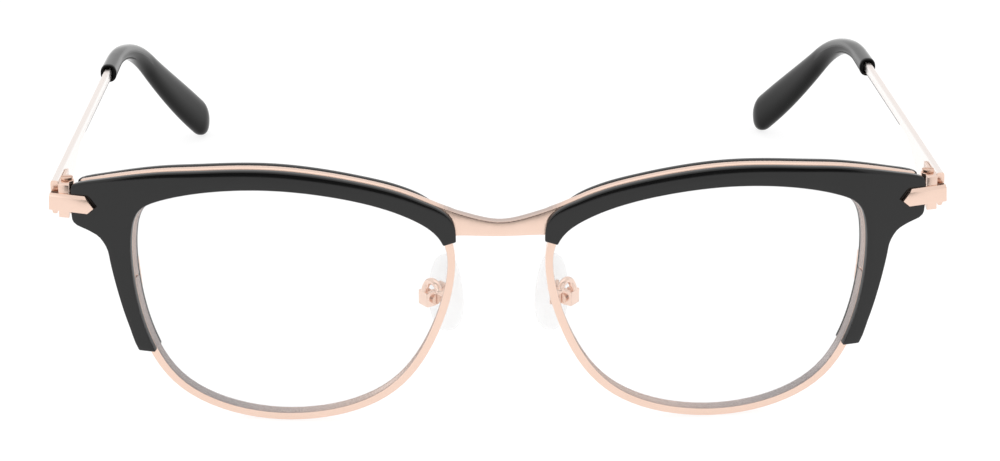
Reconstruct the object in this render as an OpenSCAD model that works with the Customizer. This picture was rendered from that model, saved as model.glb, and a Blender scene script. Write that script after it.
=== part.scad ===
// Browline glasses with acetate browpieces on a metal front, standing open on a flat surface.
// Shapes are drawn in the frame of the front: X sideways, Y backwards, Z up along the front,
// with Z = 0 at the lens centres. stand() then leans the glasses onto the surface they rest on.
// Drawn once for the half on +X, and mirrored for the other half.

/* [Lens openings] */
// Width of a lens opening in its rim
eye_w = 49.5; // [46:0.5:53]
// Height of a lens opening in its rim
eye_h = 38; // [35:0.5:41]
// Gap between the two lens openings across the nose
eye_gap = 16.5; // [15:0.5:19]

/* [Curve of the front] */
// Radius of the base curve that lenses and front follow
base_r = 130; // [110:5:170]
// Angle by which each half wraps round the face
wrap = 5; // [3:0.5:7]
// How far the middle of the bridge stands forward of the rims beside it
bridge_arch = 0.4; // [0.1:0.1:1]

/* [Rims and lenses] */
// Width of a rim, seen from the front
rim_w = 1.3; // [1.1:0.05:1.5]
// Depth of a rim, front to back
rim_d = 1.8; // [1.6:0.05:2]
// Depth of the groove that holds the lens
lens_groove = 0.5; // [0.3:0.05:0.7]
// Width of the slit where the rim opens for the lens
rim_slit = 0.2; // [0.1:0.05:0.4]
// Thickness of a lens at its edge
lens_t = 1.1; // [0.9:0.05:1.2]
// Clearance between lens edge and groove
lens_play = 0.06; // [0.04:0.01:0.1]

/* [Browpieces] */
// Thickness of the acetate wall in front of rim and bar
brow_front = 1.25; // [1:0.05:1.5]
// Thickness of the acetate wall behind the bar
brow_back = 1; // [0.9:0.05:1.5]
// Depth of the groove along the top edge, which holds the arm of the bar
groove_d = 1; // [0.7:0.05:1.1]
// Width of a browpiece above the lens
brow_top = 2.9; // [2.6:0.05:4]
// Width of a browpiece beside the nose
brow_nose = 2.15; // [2:0.05:2.6]
// Width of a browpiece's leg beside the lens
brow_leg = 2.95; // [2.6:0.05:3.6]
// How far the wing at the outer corner reaches past the lens opening
wing = 9.2; // [8.5:0.1:11]
// How far the middle of the wing's end lies below the top of the lens opening
wing_drop = 4.25; // [3.5:0.25:5]
// How much higher the rear wall stands than the front wall
rear_rise = 0.2; // [0:0.05:0.4]
// Width of the chamfers along a browpiece
brow_edge = 0.3; // [0.1:0.05:0.4]

/* [Bridge] */
// Thickness of the bridge bar
bar_t = 1.4; // [0.9:0.05:1.5]
// Height of the bridge's lower edge above the lens centres
bridge_z = 11.15; // [10.9:0.05:11.6]
// Height of the bridge in its middle
bridge_h = 2.45; // [2:0.05:3]
// How much higher the bridge's upper edge is at the rims
bridge_rise = 1.8; // [1.4:0.1:2]
// How far the bar's arms stand above the front walls of the browpieces
arm_rise = 0.15; // [0:0.05:0.3]

/* [End plaques] */
// Height of the arrow plaque on each wing
plaque_h = 2.75; // [2.2:0.05:3.4]
// Thickness of the plaque
plaque_t = 0.7; // [0.6:0.05:1.2]
// How far the plaque reaches outwards past the wing
plaque_out = 3.15; // [3:0.05:3.6]
// How far the arrow's tip reaches inwards on the wing
plaque_in = 3.95; // [3.6:0.05:5]
// Width of the bevel along the plaque's upper edge
plaque_bevel = 0.5; // [0.3:0.05:1]
// Diameter of the pins that hold the plaque through the wing
rivet_dia = 1; // [0.7:0.05:1.2]

/* [Hinges] */
// Diameter of the hinge knuckles
knuckle_dia = 2.3; // [2:0.05:2.4]
// Height of the stack of three knuckles
hinge_h = 5.3; // [4.5:0.1:6]
// Height of the temple's knuckle between the other two
middle_h = 2; // [1.5:0.1:2.4]
// Gap between neighbouring knuckles
knuckle_gap = 0.06; // [0.04:0.01:0.1]
// Diameter of the hinge screw
screw_dia = 1; // [0.8:0.05:1.2]
// Clearance of the hinge screw in its bores, on the radius
screw_play = 0.04; // [0.02:0.01:0.08]

/* [Temples] */
// Length of a temple from its hinge to its end, measured along it
temple_len = 140; // [135:1:145]
// Length of the straight part in front of the bend
bend_at = 74; // [72:1:80]
// Radius of the bend behind the ear
bend_r = 50; // [40:1:60]
// Angle of the bend
bend_angle = 33; // [30:0.5:38]
// Angle by which a temple falls away from square to the front
temple_fall = 3.4; // [2:0.2:8]
// Angle by which the temples close in towards each other
temple_close = 2.6; // [1:0.2:4]
// How far the end of the tip curves in towards the head
tip_in = 9.8; // [4:0.2:11]
// Height of the temple at its hinge
temple_h = 5.4; // [4.6:0.1:6.4]
// Height of the slender part of the temple
slim_h = 1.9; // [1.6:0.1:2.4]
// Distance from the hinge to the shoulder where the temple narrows
shoulder_at = 16; // [14:1:26]
// Length of the shoulder
shoulder_len = 10; // [4:1:14]
// Thickness of the temple
temple_t = 1.2; // [1:0.05:1.3]

/* [Ear tips] */
// Distance from the hinge to the front end of the tip
tip_at = 66; // [62:1:70]
// Width of the tip at its front end
tip_w = 2.8; // [2.6:0.1:3.4]
// Height of the tip at its front end
tip_h = 3.2; // [3:0.1:4]
// Height of the paddle at the end
paddle_h = 7; // [6:0.1:8]
// Thickness of the paddle
paddle_w = 3.2; // [2.6:0.1:4]
// Diameter of the wire core in the paddle
core_dia = 1.3; // [1:0.1:1.6]

/* [Nose pads] */
// Length of a nose pad
pad_len = 13; // [11:0.5:15]
// Width of a nose pad
pad_w = 7.4; // [6.4:0.2:8.6]
// Thickness of a nose pad
pad_t = 2.8; // [2.2:0.1:3.4]
// Distance between the two pad screws
pad_span = 21.8; // [21:0.2:23]
// Distance of the pad screws behind the front
pad_back = 9.9; // [9.2:0.1:11]
// Height of the pad screws relative to the lens centres
pad_z = -2.2; // [-3:0.2:-1]
// Angle of the pads to the line between front and back
pad_angle = 35; // [30:1:40]
// Diameter of the wire of the pad arm
wire_dia = 1.1; // [0.9:0.1:1.3]
// Diameter of the pad screw
pad_screw_dia = 0.8; // [0.6:0.05:1]

/* [Hidden] */

// Colours as in the photograph
gold = "#ecc3ae";
black = "#191919";
clear = "#e8eef0";

// Clearances between pieces that are brazed or pressed together
fit = 0.02;
seat = 0.05;

// Width of the slots in the screw heads
slot_w = 0.25;

// Reach of cutting blocks well past what they cut
beyond = 30;

// Places and depths that the sizes above give
lens_cx = (eye_gap + eye_w) / 2;
rim_front = brow_front + seat;
rim_back = rim_front + rim_d;
lens_mid = (rim_front + rim_back) / 2;
bar_front = brow_front + fit;
bar_back = bar_front + bar_t;
brow_t = bar_back + fit + brow_back;
wing_x = lens_cx + eye_w / 2 + wing;
wing_z = eye_h / 2 - wing_drop;
tan_wrap = tan(wrap);

// The front surface: a quartic arch over the bridge, then the base curve with its wrap
bridge_half = 8;
bridge_slope = tan_wrap + (bridge_half - lens_cx) / base_r;
bridge_y = tan_wrap * (bridge_half - lens_cx) + pow(bridge_half - lens_cx, 2) / (2 * base_r);
arch_4 = bridge_half * bridge_slope / 2 - bridge_arch;
arch_2 = bridge_arch - arch_4;

function across(x) = let(u = x / bridge_half, v = x - lens_cx)
    x > bridge_half ? tan_wrap * v + v * v / (2 * base_r)
                    : bridge_y - bridge_arch + arch_2 * pow(u, 2) + arch_4 * pow(u, 4);

function across_slope(x) = let(u = x / bridge_half)
    x > bridge_half ? tan_wrap + (x - lens_cx) / base_r
                    : (2 * arch_2 * u + 4 * arch_4 * pow(u, 3)) / bridge_half;

function unit(v) = v / norm(v);

// Slopes of the front surface sideways and upwards
function slopes(x, z) = [sign(x) * across_slope(abs(x)), z / base_r];

// Direction straight back through the front at a place
function inwards(x, z) = let(g = slopes(x, z)) unit([-g[0], 1, -g[1]]);

// Point at depth d behind the front surface
function front(p, d) = [p[0], across(abs(p[0])) + p[1] * p[1] / (2 * base_r), p[1]]
    + d * inwards(p[0], p[1]);

// The same with a level direction, for the top edge
function level(p, d) = front(p, 0) + d * unit([-slopes(p[0], p[1])[0], 1, 0]);

// Lens opening: points as shares of its half width and half height, from the nose over the top
EYE = [
    [-0.975, 0.53], [-0.79, 0.745], [-0.45, 0.91], [0.05, 1], [0.5, 0.963], [0.8, 0.865],
    [0.945, 0.755], [0.992, 0.53], [0.985, 0.17], [0.907, -0.305], [0.707, -0.752], [0.3, -0.975],
    [-0.15, -0.985], [-0.56, -0.81], [-0.82, -0.42], [-0.975, 0.14]
];
EYE_N = len(EYE);
function eye_key(i) = let(k = i % EYE_N) EYE[k < 0 ? k + EYE_N : k];
function eye_ctrl(i) = eye_key(i) + (2 * eye_key(i) - eye_key(i - 1) - eye_key(i + 1)) / 6;

// Smooth closed curve close to the points, by its station t, which counts the points
function eye_share(t) = let(i = floor(t), f = t - i, g = 1 - f)
    (g * g * g * eye_ctrl(i - 1) + (3 * f * f * f - 6 * f * f + 4) * eye_ctrl(i)
    + (3 * g * g * g - 6 * g * g + 4) * eye_ctrl(i + 1) + f * f * f * eye_ctrl(i + 2)) / 6;
function eye(t) = let(p = eye_share(t)) [lens_cx + p[0] * eye_w / 2, p[1] * eye_h / 2];

// Direction away from the lens at a station
function outwards(t) = let(d = eye(t + 0.02) - eye(t - 0.02)) unit([-d[1], d[0]]);
function beside(t, s) = eye(t) + s * outwards(t);

// Stations per point, and the stations that rims, lenses and browpieces share
STEP = 0.25;
ROUND = EYE_N / STEP;

// Faces of the band between two rings of point numbers
function band(a, b) = [for (i = [0:len(a) - 1]) let(j = (i + 1) % len(a))
    each [[a[i], a[j], b[j]], [a[i], b[j], b[i]]]];
function turned(list) = [for (i = [len(list) - 1:-1:0]) list[i]];

// Faces of an open strip between two rows of point numbers, and of a fan round the first point
function strip(a, b) = [for (i = [0:len(a) - 2])
    each [[a[i], a[i + 1], b[i + 1]], [a[i], b[i + 1], b[i]]]];
function fan(list) = [for (i = [1:len(list) - 2]) [list[0], list[i], list[i + 1]]];

// Solid through a row of rings with equally many points, closed at both ends
module loft(rings) {
    n = len(rings[0]);
    last = len(rings) - 1;
    function ring(k) = [for (i = [0:n - 1]) k * n + i];
    polyhedron(
        points = [for (r = rings) each r],
        faces = concat(
            [turned(ring(0))],
            [for (k = [0:last - 1]) each band(ring(k), ring(k + 1))],
            [ring(last)]
        )
    );
}

// Places children on the front surface, X sideways along it, Y into it and Z up it
module on_front(x, z) {
    g = slopes(x, z);
    y_dir = inwards(x, z);
    x_dir = unit([1, g[0], 0]);
    z_dir = cross(x_dir, y_dir);
    o = front([x, z], 0);
    multmatrix([
        [x_dir[0], y_dir[0], z_dir[0], o[0]],
        [x_dir[1], y_dir[1], z_dir[1], o[1]],
        [x_dir[2], y_dir[2], z_dir[2], o[2]]
    ]) children();
}

// Places children at a station of the rim, X away from the lens, Y into the front
module on_rim(t) {
    p = eye(t);
    n = outwards(t);
    g = slopes(p[0], p[1]);
    y_dir = inwards(p[0], p[1]);
    x_dir = unit([n[0], g[0] * n[0] + g[1] * n[1], n[1]]);
    z_dir = cross(x_dir, y_dir);
    o = front(p, 0);
    multmatrix([
        [x_dir[0], y_dir[0], z_dir[0], o[0]],
        [x_dir[1], y_dir[1], z_dir[1], o[1]],
        [x_dir[2], y_dir[2], z_dir[2], o[2]]
    ]) children();
}

// Upright cylinder between two heights
module rod(r, z0, z1) translate([0, 0, z0]) cylinder(r = r, h = z1 - z0, $fn = 48);

// Cylinder along Y between two depths
module pin(r, y0, y1) translate([0, y0, 0]) rotate([-90, 0, 0]) cylinder(r = r, h = y1 - y0, $fn = 48);

// Block between two corners
module block(a, b) translate(a) cube(b - a);

// Rims

rim_edge = 0.2;
groove_mouth = lens_t / 2 + lens_play + 0.04;
lock_at = 8;
function slit_step() = rim_slit / 2 / norm(eye(lock_at + 0.5) - eye(lock_at - 0.5));

// Section of a rim as distances away from the lens and depths
RIM = [
    [0, lens_mid - groove_mouth], [0, rim_front + rim_edge], [rim_edge, rim_front],
    [rim_w - rim_edge, rim_front], [rim_w, rim_front + rim_edge], [rim_w, rim_back - rim_edge],
    [rim_w - rim_edge, rim_back], [rim_edge, rim_back], [0, rim_back - rim_edge],
    [0, lens_mid + groove_mouth], [lens_groove, lens_mid]
];
function rim_ring(t) = [for (q = RIM) front(beside(t, q[0]), q[1])];
RIM_STATIONS = concat(
    [lock_at + slit_step()],
    [for (i = [1:ROUND - 1]) lock_at + i * STEP],
    [lock_at + EYE_N - slit_step()]
);

module eyewire() loft([for (t = RIM_STATIONS) rim_ring(t)]);

// Lenses

lens_tip = lens_groove - lens_play;
lens_rise = lens_tip * lens_t / 2 / groove_mouth;
LENS_RINGS = [
    [0.5, 0, -lens_t / 2], [1, lens_tip - lens_groove, -lens_t / 2], [1, lens_tip, 0],
    [1, lens_tip - lens_groove, lens_t / 2], [0.5, 0, lens_t / 2]
];

module lens() {
    c = [lens_cx, 0];
    function ring(k) = [for (i = [0:ROUND - 1]) k * ROUND + i];
    function spot(q, i) = front(c + q[0] * (beside(i * STEP, q[1]) - c), lens_mid + q[2]);
    count = len(LENS_RINGS);
    polyhedron(
        points = concat(
            [for (q = LENS_RINGS, i = [0:ROUND - 1]) spot(q, i)],
            [front(c, lens_mid - lens_t / 2), front(c, lens_mid + lens_t / 2)]
        ),
        faces = concat(
            [for (k = [0:count - 2]) each band(ring(k + 1), ring(k))],
            [for (i = [0:ROUND - 1]) [count * ROUND, i, (i + 1) % ROUND]],
            [for (i = [0:ROUND - 1])
                [count * ROUND + 1, (count - 1) * ROUND + (i + 1) % ROUND, (count - 1) * ROUND + i]]
        )
    );
}

// Browpieces

// Outer edge, at the stations where it changes: shares of the named widths, then the wing's corners
corner = [wing_x, wing_z];
BROW = [
    [0, eye(0) + brow_nose * [-0.94, 0.24]],
    [0.25, eye(0.25) + brow_nose * [-1.17, 0.85]],
    [0.5, eye(0.5) + brow_nose * [-1.11, 1.15]],
    [0.75, eye(0.75) + brow_top * [-0.62, 0.96]],
    [1, eye(1) + brow_top * [-0.39, 1]],
    [2, eye(2) + brow_top * [-0.38, 0.93]],
    [3, eye(3) + brow_top * [-0.06, 1.01]],
    [4, eye(4) + brow_top * [0.3, 1.08]],
    [4.75, eye(4.75) + brow_top * [0.72, 1.28]],
    [5, corner + [-11.35, 5.6]],
    [5.25, corner + [-8.45, 5.05]],
    [5.5, corner + [-4.85, 4.25]],
    [5.75, corner + [-1.05, 3.3]],
    [6, corner + [0, 2.3]],
    [6.25, corner + [0, -1.55]],
    [6.5, corner + [-0.45, -3.15]],
    [6.75, corner + [-2.55, -4]],
    [7, corner + [-4.35, -4.95]],
    [7.25, eye(7.25) + brow_leg * [1.27, -0.19]],
    [7.5, eye(7.5) + brow_leg * [1.13, -0.32]],
    [8, eye(8) + brow_leg * [1.02, -0.03]],
    [8.5, eye(8.5) + brow_leg * [0.94, 0.15]],
    [9, eye(9) + brow_leg * [0.98, 0.42]],
    [9.25, eye(9.25) + brow_leg * [0.97, 0.18]],
    [9.325, eye(9.325) + brow_leg * [0.9, 0.02]]
];
BROW_X = [for (b = BROW) [b[0], b[1][0] - eye(b[0])[0]]];
BROW_Z = [for (b = BROW) [b[0], b[1][1] - eye(b[0])[1]]];
function brow_line(t) = eye(t) + [lookup(t, BROW_X), lookup(t, BROW_Z)];

// Stations of the browpiece: thin at the nose, then with its rear wall, then without top groove
BROW_STATIONS = concat([for (i = [0:37]) i * STEP], [BROW[len(BROW) - 1][0]]);
thick_from = 3;
groove_to = 24;
chan = rim_w + seat;
chan_back = rim_back + seat;

// How far the rear wall stands above the outer edge: it rises from a point at the nose
function lift(t) = rear_rise * lookup(t, [[0.75, -2.5], [1, 0], [1.5, 0.9], [2, 1], [5.5, 1], [6, 0]]);

function brow_rib(t) = let(
    i = eye(t), o = brow_line(t), e = unit(o - i), c = brow_edge, rear = o + lift(t) * e,
    in_c = i + c * e, bed = o - groove_d * e, rim = i + chan / (e * outwards(t)) * e
) [
    front(i, c), front(in_c, 0), level(o - c * e, 0), level(o, c), level(o, brow_front),
    level(bed, brow_front), level(bed, bar_back + fit), level(rear, bar_back + fit),
    level(rear, brow_t - c), level(rear - c * e, brow_t), front(in_c, brow_t), front(i, brow_t - c),
    front(i, chan_back), front(rim, chan_back), front(rim, brow_front), front(i, brow_front)
];

module brow_blank() {
    n = 16;
    last = len(BROW_STATIONS) - 1;
    whole = [for (i = [0:n - 1]) i];
    thin = [15, 0, 1, 2, 3, 4];
    plain = [for (i = whole) if (i != 5 && i != 6) i];
    function at(k, part) = [for (i = part) k * n + i];
    function cap(k, parts) = [for (p = parts) each fan(at(k, p))];
    thin_end = [[15, 4, 1, 0], [4, 3, 2, 1]];
    rear_end = [[14, 13, 6, 5], [8, 7, 6, 13, 10, 9], [12, 11, 10, 13]];
    foot = [[0, 1, 14, 15], [1, 2, 3, 4, 14], [4, 7, 13, 14], [9, 10, 13, 7, 8], [13, 10, 11, 12]];
    step = thick_from - 1;
    polyhedron(
        points = [for (t = BROW_STATIONS) each brow_rib(t)],
        faces = concat(
            cap(0, thin_end),
            [for (k = [0:step - 1]) each band(at(k, thin), at(k + 1, thin))],
            strip(at(step, thin), at(thick_from, thin)),
            fan(concat(at(step, [4, 15]), at(thick_from, [15, 14, 5, 4]))),
            cap(thick_from, rear_end),
            [for (k = [thick_from:groove_to - 1]) each band(at(k, whole), at(k + 1, whole))],
            cap(groove_to, [[4, 5, 6, 7]]),
            [for (k = [groove_to:last - 1]) each band(at(k, plain), at(k + 1, plain))],
            cap(last, foot)
        )
    );
}

module brow() {
    difference() {
        brow_blank();
        for (x = RIVETS) on_front(x, wing_z) pin(rivet_dia / 2 + fit, -1, brow_t + 1);
        on_rim(lock_at) lock_space();
        on_rim(brow_screw_at) translate([brow_screw_s, 0, 0])
            pin(brow_screw_dia / 2 + fit, brow_screw_end - fit, brow_t);
    }
}

// Small screws through the bar into the thin nose ends of the browpieces

brow_screw_dia = 0.9;
brow_screw_head = 1.4;
brow_screw_at = 0.6;
brow_screw_s = rim_w + 0.8;
brow_screw_end = 0.5;

module brow_screw() {
    on_rim(brow_screw_at) translate([brow_screw_s, 0, 0]) difference() {
        union() {
            pin(brow_screw_dia / 2, brow_screw_end, bar_back + fit);
            pin(brow_screw_head / 2, bar_back + fit, bar_back + fit + 0.5);
        }
        block([-slot_w / 2, bar_back + 0.3, -1], [slot_w / 2, bar_back + 1, 1]);
    }
}

// Bridge bar

function bridge_top(x) = bridge_z + bridge_h + bridge_rise * pow(abs(x) / bridge_half, 1.7);

// Lower and upper point of a rib of the bar: between the rims, beside a rim, and in the groove
function middle_rib(x) = [[x, bridge_z], [x, bridge_top(x)]];
function rim_rib(t, x) = [beside(t, rim_w + fit), [x, bridge_top(x)]];
function arm_rib(t) = let(o = brow_line(t), e = unit(o - eye(t)))
    [o - (groove_d - fit) * e, o + arm_rise * e];

HALF_BAR = concat(
    [for (x = [1.5:1.5:6]) middle_rib(x)],
    [rim_rib(0.1, 7.4), rim_rib(0.25, 8.5), rim_rib(0.5, 9.6)],
    [for (k = [thick_from:groove_to - 1]) arm_rib(k * STEP)]
);
function flip(p) = [-p[0], p[1]];
BAR = concat(
    [for (r = turned(HALF_BAR)) [flip(r[0]), flip(r[1])]],
    [middle_rib(0)],
    HALF_BAR
);
bar_edge = 0.2;

module bridge_bar_blank() {
    loft([for (r = BAR) let(e = unit(r[1] - r[0]), low = r[1] - bar_edge * e) [
        level(r[0], bar_front), level(low, bar_front), level(r[1], bar_front + bar_edge),
        level(r[1], bar_back - bar_edge), level(low, bar_back), level(r[0], bar_back)
    ]]);
}

module bridge_bar() {
    color(gold) stand() difference() {
        bridge_bar_blank();
        both() on_rim(brow_screw_at) translate([brow_screw_s, 0, 0])
            pin(brow_screw_dia / 2 + fit, 0, bar_back + 1);
    }
}

// Closing barrel of the rim: two half blocks and their screw, in a recess behind the browpiece

lock_in = 0.25;
lock_out = 2.45;
lock_r = (lock_out - lock_in) / 2;
lock_y = rim_back + seat + lock_r;
lock_len = 2.4;
lock_gap = 0.3;
lock_screw_dia = 1;
lock_head_r = 0.85;
lock_head_h = 0.5;

module lock_space() {
    block([-3, rim_back + fit / 2, -lock_len - lock_gap],
        [lock_out + lock_gap, brow_t + 3, lock_len + lock_head_h + lock_gap]);
}

module lock_half(up) {
    z0 = up > 0 ? rim_slit / 2 : -lock_len;
    z1 = up > 0 ? lock_len : -rim_slit / 2;
    difference() {
        union() {
            block([lock_in, rim_back + seat, z0], [lock_out, lock_y, z1]);
            translate([lock_in + lock_r, lock_y, 0]) rod(lock_r, z0, z1);
        }
        translate([lock_in + lock_r, lock_y, 0]) rod(lock_screw_dia / 2 + fit, -lock_len - 1, lock_len + 1);
    }
}

module rim_lock() {
    on_rim(lock_at) {
        lock_half(1);
        lock_half(-1);
    }
}

module rim_lock_screw() {
    on_rim(lock_at) translate([lock_in + lock_r, lock_y, 0]) difference() {
        union() {
            rod(lock_screw_dia / 2, -lock_len, lock_len + fit);
            rod(lock_head_r, lock_len + fit, lock_len + lock_head_h);
        }
        block([-1, -slot_w / 2, lock_len + lock_head_h / 2], [1, slot_w / 2, lock_len + 1]);
    }
}

// End plaques with the side leg that runs back beside the hinge

RIVETS = [wing_x - 2.6, wing_x - 1.1];
plaque_up = 0.15;
hinge = [wing_x + 0.75, front([wing_x, wing_z], 0)[1] + 3.35, wing_z + 0.1];
leg_in = hinge[0] + 1.3;
leg_out = wing_x + plaque_out;
leg_end = hinge[1] - 1;
rivet_end = brow_t + 3 * seat;

module endpiece() {
    cx = wing_x - 0.65;
    lean = sqrt(1 + pow(slopes(cx, wing_z)[0], 2));
    h = plaque_h / 2;
    end = (wing_x + plaque_out - cx) * lean;
    tip = (wing_x - plaque_in - cx) * lean;
    on_front(cx, wing_z + plaque_up) intersection() {
        rotate([90, 0, 0]) linear_extrude(height = 10, center = true)
            polygon([[tip, -0.4], [tip + 1.1, -h], [end, -h + 0.05], [end, h], [tip + 1.6, h]]);
        rotate([90, 0, 90]) linear_extrude(height = beyond, center = true) polygon([
            [-fit, -h - 0.1], [-plaque_t + 0.2, -h - 0.1], [-plaque_t - fit, -h + 0.2],
            [-plaque_t - fit, h - plaque_bevel], [-plaque_t / 2, h + 0.1], [-fit, h + 0.1]
        ]);
    }
    difference() {
        block([leg_in, hinge[1] - 6, wing_z - h + 0.5], [leg_out, leg_end, wing_z + h - 0.1]);
        on_front(cx, wing_z) block([-beyond, -beyond, -beyond], [beyond, -plaque_t / 2, beyond]);
    }
}

module rivets() {
    for (x = RIVETS) on_front(x, wing_z) {
        pin(rivet_dia / 2, fit, rivet_end);
        translate([0, rivet_end, 0]) rotate([-90, 0, 0])
            cylinder(r1 = rivet_dia * 0.72, r2 = rivet_dia * 0.5, h = 0.45, $fn = 48);
    }
}

// Hinges, drawn about their axis: Z along the pin, Y along the temple

module on_hinge() translate(hinge) rotate([-temple_fall, 0, 0]) children();

knuckle_r = knuckle_dia / 2;
half_h = hinge_h / 2;
mid = middle_h / 2;
bore_r = screw_dia / 2 + screw_play;
base_in = -0.5;

module front_hinge() {
    difference() {
        on_hinge() difference() {
            union() {
                for (z = [[-half_h, -mid - knuckle_gap], [mid + knuckle_gap, half_h]]) {
                    rod(knuckle_r, z[0], z[1]);
                    block([base_in, -4, z[0]], [knuckle_r, 0, z[1]]);
                }
                block([base_in, -4, -half_h], [knuckle_r, -knuckle_r - 0.3, half_h]);
            }
            rod(bore_r, -half_h - 1, half_h + 1);
        }
        on_front(wing_x - 0.65, wing_z) block([-beyond, -beyond, -beyond], [beyond, -fit / 2, beyond]);
    }
}

leaf_t = 0.5;

module temple_hinge() {
    on_hinge() difference() {
        union() {
            rod(knuckle_r, -mid, mid);
            block([0, -0.6, -mid], [temple_gap - fit, 2, mid]);
            rotate([0, 0, temple_close])
                block([temple_gap - leaf_t, 1.8, -half_h + 0.5], [temple_gap - fit, 7.5, half_h - 0.5]);
        }
        rod(bore_r, -half_h, half_h);
        rotate([0, 0, temple_close]) block([temple_gap - fit, -10, -10], [temple_gap + 5, 10, 10]);
    }
}

module hinge_screw() {
    on_hinge() difference() {
        union() {
            rod(screw_dia / 2, -half_h + 0.1, half_h + fit);
            rod(0.95, half_h + fit, half_h + 0.5);
        }
        block([-2, -slot_w / 2, half_h + 0.25], [2, slot_w / 2, half_h + 1]);
    }
}

// Temples and ear tips: sections along one path, so that the core fills the bore of the tip

temple_gap = 1.3;
spine_z = (temple_h - slim_h) / 2;
tip_play = 0.05;

function bend_turn(s) = min(max(s - bend_at, 0) / bend_r * 180 / PI, bend_angle);
function path(s) = let(
    a = bend_turn(s), rest = max(s - bend_at - bend_r * bend_angle * PI / 180, 0),
    share = max(s - bend_at, 0) / (temple_len - bend_at)
) [
    temple_gap + temple_t / 2 - tip_in * pow(share, 1.6),
    min(s, bend_at) + bend_r * sin(a) + rest * cos(a),
    spine_z - bend_r * (1 - cos(a)) - rest * sin(a)
];

// Ring of twelve points round the path: rounder for a larger power
function section(s, w, up, down, power) = let(
    p = path(s), t = unit(path(s + 0.1) - path(s - 0.1)), h = unit(cross([1, 0, 0], t)), side = cross(t, h)
) [for (i = [0:11]) let(c = cos(30 * i + 15), v = sin(30 * i + 15))
    p + side * w / 2 * sign(c) * pow(abs(c), power)
    + h * (v > 0 ? up : down) * sign(v) * pow(abs(v), power)];

// Height of the temple below its spine, and size of the core inside the tip
function low(s) = let(u = min(max((s - shoulder_at) / shoulder_len, 0), 1))
    slim_h / 2 + (temple_h - slim_h) * (1 - u * u * (3 - 2 * u));
function core_share(s) = min(max((s - tip_at - 2) / 6, 0), 1);
function core_up(s) = let(k = core_share(s)) slim_h / 2 * (1 - k) + core_dia / 2 * k;
function core_w(s) = let(k = core_share(s)) temple_t * (1 - k) + core_dia * k;
function core_power(s) = 0.12 + 0.7 * core_share(s);
core_end = temple_len - 10;

PLATE_S = concat([-0.8, shoulder_at / 2], [for (u = [0:0.125:1]) shoulder_at + u * shoulder_len],
    [(shoulder_at + shoulder_len + tip_at) / 2]);
TIP_S = concat([tip_at, tip_at + 2, tip_at + 5, tip_at + 8],
    [for (s = [bend_at + 3:3.5:core_end - 3]) if (s > tip_at + 9) s], [core_end]);

module temple() {
    on_hinge() rotate([0, 0, temple_close]) loft(concat(
        [for (s = PLATE_S) section(s, temple_t, slim_h / 2, low(s), 0.12)],
        [for (s = TIP_S) section(s, core_w(s), core_up(s), core_up(s), core_power(s))]
    ));
}

// Outer size of the tip: collar, slender bend, paddle and rounded end
function tip_share(s) = min(max((s - bend_at - 8) / (temple_len - 16 - bend_at), 0), 1);
function end_share(s) = sqrt(max(1 - pow(max(s - temple_len + 5, 0) / 5, 2), 0.02));
function tip_ring(s) = let(
    k = tip_share(s), e = end_share(s),
    slim = min(max((s - tip_at) / 10, 0), 1),
    h = tip_h * (1 - 0.14 * slim) + (paddle_h - 0.86 * tip_h) * k * k * (3 - 2 * k),
    w = tip_w * (1 - 0.04 * slim) + (paddle_w - 0.96 * tip_w) * k
) section(s, w * e, h / 2 * e, h / 2 * e, 0.8);
END_S = [temple_len - 7, temple_len - 5, temple_len - 3, temple_len - 1.5, temple_len - 0.5, temple_len];

module tip() {
    outer = [for (s = concat(TIP_S, END_S)) tip_ring(s)];
    inner = [for (s = TIP_S) section(s, core_w(s) + 2 * tip_play, core_up(s) + tip_play,
        core_up(s) + tip_play, core_power(s))];
    n = 12;
    a = len(outer);
    b = len(inner);
    function ring(k) = [for (i = [0:n - 1]) k * n + i];
    on_hinge() rotate([0, 0, temple_close]) polyhedron(
        points = concat([for (r = outer) each r], [for (r = inner) each r],
            [section(core_end + 0.2, 0, 0, 0, 1)[0]]),
        faces = concat(
            [for (k = [0:a - 2]) each band(ring(k), ring(k + 1))],
            [ring(a - 1)],
            band(ring(a), ring(0)),
            [for (k = [a:a + b - 2]) each band(ring(k + 1), ring(k))],
            [for (i = [0:n - 1]) [(a + b) * n, (a + b - 1) * n + (i + 1) % n, (a + b - 1) * n + i]]
        )
    );
}

// Nose pads: wire arm with a small fork, in which the lug of the pad rocks on a screw

pad_pivot = [pad_span / 2, pad_back, pad_z];
module on_pad() translate(pad_pivot) rotate([0, 0, 90 - pad_angle]) children();

lug_r = 0.85;
lug_w = 1.3;
cheek_t = 0.5;
fork_w = lug_w + 0.16 + 2 * cheek_t;
fork_back = -1.45;
pad_off = 1.75;

// Route of the arm: rear of the rim, up and round, down onto the fork
arm_from = beside(14.9, rim_w / 2);
ARM = [
    front(arm_from, rim_back + seat), front(arm_from, rim_back + 1.2),
    [pad_pivot[0] - 1.6, pad_pivot[1] - 4.3, 0.3],
    [pad_pivot[0] - 0.9, pad_pivot[1] - 3.2, 1.25], [pad_pivot[0] + 0.1, pad_pivot[1] - 1.7, 1.1],
    [pad_pivot[0] + 0.75, pad_pivot[1] - 0.95, -0.1], [pad_pivot[0] + 0.95, pad_pivot[1] - 0.75, -0.95]
];
function arm_at(t) = let(
    i = min(floor(t), len(ARM) - 2), f = t - i, n = len(ARM) - 1,
    a = ARM[max(i - 1, 0)], b = ARM[i], c = ARM[i + 1], d = ARM[min(i + 2, n)]
) (2 * b + f * (c - a) + f * f * (2 * a - 5 * b + 4 * c - d) + f * f * f * (3 * b - a - 3 * c + d)) / 2;
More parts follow.
